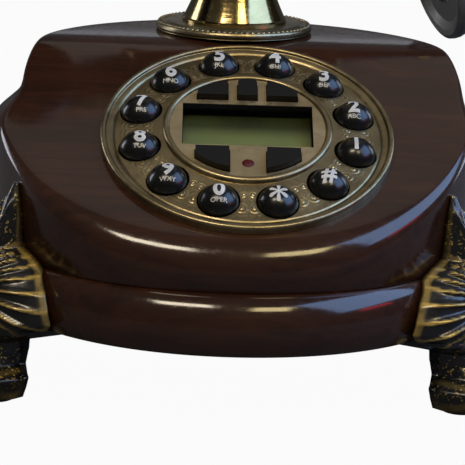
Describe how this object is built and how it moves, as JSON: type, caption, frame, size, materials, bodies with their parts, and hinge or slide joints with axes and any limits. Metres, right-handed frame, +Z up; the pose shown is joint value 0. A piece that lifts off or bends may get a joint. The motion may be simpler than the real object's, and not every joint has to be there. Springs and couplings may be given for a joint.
{
  "type": "desk telephone",
  "caption": "Desk telephone with a round wooden body, sloped round keypad with display, brass pillar cradle, claw feet and a lift-off horn handset.",
  "frame": {"origin": "axis of the round body, on the plane the three foot pads rest on", "axes": "+Z up, -Y towards the user (the sloped dial faces -Y), +X to the user's right"},
  "size_m": [0.2196, 0.2012, 0.1988],
  "materials": {
    "body_wood": "dark walnut, high-gloss lacquer",
    "handset_wood": "dark walnut, high-gloss lacquer",
    "bronze": "aged bronze, engraved",
    "panel_bronze": "satin aged bronze",
    "polished_brass": "polished",
    "aged_brass": "aged, beaded edge",
    "claw_foot": "black with gold rubbed over the ribs",
    "key_black": "glossy domes",
    "black_plastic": "fine matt",
    "grey_plastic": "satin",
    "plate_steel": "black powder coat",
    "steel": "zinc plated",
    "rubber": "matt",
    "board_green": "solder resist",
    "lcd": "olive display, switched off",
    "lens": "clear",
    "led_red": "dark red lens",
    "transducer": "satin",
    "cell": "printed sleeve, plain"
  },
  "bodies": {
    "phone": {"body_shell": "body_wood", "base_skirt": "body_wood", "base_plate": "plate_steel", "base_screws": "steel", "foot_left": "claw_foot", "foot_right": "claw_foot", "foot_back": "claw_foot", "foot_pads": "rubber", "foot_screws": "steel", "dial_bezel": "bronze", "display_panel": "panel_bronze", "display_frame": "black_plastic", "display_lens": "lens", "lcd_glass": "lcd", "led_lens": "led_red", "keypad_mat": "rubber", "keypad_board": "board_green", "dial_clamp": "steel", "dial_screws": "steel", "main_board": "board_green", "hook_switch": "black_plastic", "ringer": "transducer", "line_jack": "black_plastic", "handset_jack": "black_plastic", "pillar_flange": "aged_brass", "pillar": "polished_brass", "pillar_nut": "steel", "cradle_yoke": "polished_brass", "battery_tray": "black_plastic", "batteries": "cell", "switch_plate": "black_plastic"},
    "hook": {"hook_rod": "steel", "hook_spring": "steel"},
    "handset": {"handset_grip": "handset_wood", "grip_bands": "polished_brass", "ear_cup": "handset_wood", "ear_cap": "handset_wood", "mouth_horn": "handset_wood", "mouth_cap": "grey_plastic", "receiver": "transducer", "microphone": "transducer"},
    "ringer_slider": {"ringer_knob": "grey_plastic"},
    "battery_cover": {"battery_door": "black_plastic"},
    "key_1_cap": {"key_1": "key_black"},
    "key_2_cap": {"key_2": "key_black"},
    "key_3_cap": {"key_3": "key_black"},
    "key_4_cap": {"key_4": "key_black"},
    "key_5_cap": {"key_5": "key_black"},
    "key_6_cap": {"key_6": "key_black"},
    "key_7_cap": {"key_7": "key_black"},
    "key_8_cap": {"key_8": "key_black"},
    "key_9_cap": {"key_9": "key_black"},
    "key_0_cap": {"key_0": "key_black"},
    "key_star_cap": {"key_star": "key_black"},
    "key_hash_cap": {"key_hash": "key_black"},
    "fn_up_left_cap": {"fn_up_left": "key_black"},
    "fn_up_mid_cap": {"fn_up_mid": "key_black"},
    "fn_up_right_cap": {"fn_up_right": "key_black"},
    "fn_low_left_cap": {"fn_low_left": "key_black"},
    "fn_low_right_cap": {"fn_low_right": "key_black"}
  },
  "joints": [
    {"name": "handset_lift", "type": "slide", "parent": "phone", "child": "handset", "axis": [0, 0, 1], "range_m": [0, 0.05]},
    {"name": "hook_rise", "type": "slide", "parent": "phone", "child": "hook", "axis": [0, 0, 1], "range_m": [0, 0.004], "stiffness_N_per_m": 80, "springref_m": 0.012, "deforming": ["hook_spring"]},
    {"name": "ringer_slide", "type": "slide", "parent": "phone", "child": "ringer_slider", "axis": [-1, 0, 0], "range_m": [0, 0.004]},
    {"name": "battery_cover_off", "type": "slide", "parent": "phone", "child": "battery_cover", "axis": [0, 0, -1], "range_m": [0, 0.015]},
    {"name": "key_1_press", "type": "slide", "parent": "phone", "child": "key_1_cap", "axis": [0, 0.4633, -0.8862], "range_m": [0, 0.0015], "stiffness_N_per_m": 300, "springref_m": -0.001},
    {"name": "key_2_press", "type": "slide", "parent": "phone", "child": "key_2_cap", "axis": [0, 0.4633, -0.8862], "range_m": [0, 0.0015], "stiffness_N_per_m": 300, "springref_m": -0.001},
    {"name": "key_3_press", "type": "slide", "parent": "phone", "child": "key_3_cap", "axis": [0, 0.4633, -0.8862], "range_m": [0, 0.0015], "stiffness_N_per_m": 300, "springref_m": -0.001},
    {"name": "key_4_press", "type": "slide", "parent": "phone", "child": "key_4_cap", "axis": [0, 0.4633, -0.8862], "range_m": [0, 0.0015], "stiffness_N_per_m": 300, "springref_m": -0.001},
    {"name": "key_5_press", "type": "slide", "parent": "phone", "child": "key_5_cap", "axis": [0, 0.4633, -0.8862], "range_m": [0, 0.0015], "stiffness_N_per_m": 300, "springref_m": -0.001},
    {"name": "key_6_press", "type": "slide", "parent": "phone", "child": "key_6_cap", "axis": [0, 0.4633, -0.8862], "range_m": [0, 0.0015], "stiffness_N_per_m": 300, "springref_m": -0.001},
    {"name": "key_7_press", "type": "slide", "parent": "phone", "child": "key_7_cap", "axis": [0, 0.4633, -0.8862], "range_m": [0, 0.0015], "stiffness_N_per_m": 300, "springref_m": -0.001},
    {"name": "key_8_press", "type": "slide", "parent": "phone", "child": "key_8_cap", "axis": [0, 0.4633, -0.8862], "range_m": [0, 0.0015], "stiffness_N_per_m": 300, "springref_m": -0.001},
    {"name": "key_9_press", "type": "slide", "parent": "phone", "child": "key_9_cap", "axis": [0, 0.4633, -0.8862], "range_m": [0, 0.0015], "stiffness_N_per_m": 300, "springref_m": -0.001},
    {"name": "key_0_press", "type": "slide", "parent": "phone", "child": "key_0_cap", "axis": [0, 0.4633, -0.8862], "range_m": [0, 0.0015], "stiffness_N_per_m": 300, "springref_m": -0.001},
    {"name": "key_star_press", "type": "slide", "parent": "phone", "child": "key_star_cap", "axis": [0, 0.4633, -0.8862], "range_m": [0, 0.0015], "stiffness_N_per_m": 300, "springref_m": -0.001},
    {"name": "key_hash_press", "type": "slide", "parent": "phone", "child": "key_hash_cap", "axis": [0, 0.4633, -0.8862], "range_m": [0, 0.0015], "stiffness_N_per_m": 300, "springref_m": -0.001},
    {"name": "fn_up_left_press", "type": "slide", "parent": "phone", "child": "fn_up_left_cap", "axis": [0, 0.4633, -0.8862], "range_m": [0, 0.001], "stiffness_N_per_m": 300, "springref_m": -0.001},
    {"name": "fn_up_mid_press", "type": "slide", "parent": "phone", "child": "fn_up_mid_cap", "axis": [0, 0.4633, -0.8862], "range_m": [0, 0.001], "stiffness_N_per_m": 300, "springref_m": -0.001},
    {"name": "fn_up_right_press", "type": "slide", "parent": "phone", "child": "fn_up_right_cap", "axis": [0, 0.4633, -0.8862], "range_m": [0, 0.001], "stiffness_N_per_m": 300, "springref_m": -0.001},
    {"name": "fn_low_left_press", "type": "slide", "parent": "phone", "child": "fn_low_left_cap", "axis": [0, 0.4633, -0.8862], "range_m": [0, 0.001], "stiffness_N_per_m": 300, "springref_m": -0.001},
    {"name": "fn_low_right_press", "type": "slide", "parent": "phone", "child": "fn_low_right_cap", "axis": [0, 0.4633, -0.8862], "range_m": [0, 0.001], "stiffness_N_per_m": 300, "springref_m": -0.001}
  ],
  "couplings": [
    {"joint": "hook_rise", "follows": "handset_lift", "ratio": 0.08}
  ]
}
